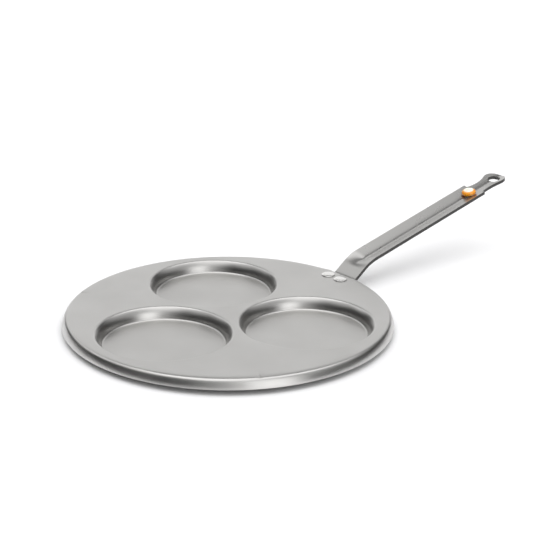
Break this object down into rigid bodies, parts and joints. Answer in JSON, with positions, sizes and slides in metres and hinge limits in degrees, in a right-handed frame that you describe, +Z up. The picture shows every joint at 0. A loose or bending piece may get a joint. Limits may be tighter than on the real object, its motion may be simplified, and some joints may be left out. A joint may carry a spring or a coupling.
{
  "type": "blini pan",
  "caption": "Round pressed-steel pan for blinis with shallow round wells, a turned-down rim and a long riveted strip handle that ends in a hanging loop.",
  "frame": {"origin": "under the middle of the whole pan, in the plane that the wells stand on", "axes": "+X along the handle from the disc to the hanging loop, +Z up out of the wells, +Y to the left of someone looking along the handle"},
  "size_m": [0.4738, 0.27, 0.0613],
  "materials": {
    "plate_steel": "satin",
    "handle_steel": "satin",
    "rivet_steel": "bright",
    "amber_button": "gloss"
  },
  "bodies": {
    "root": {"pan_plate": "plate_steel", "handle": "handle_steel", "rivet_left": "rivet_steel", "rivet_right": "rivet_steel", "handle_button": "amber_button"}
  },
  "joints": []
}
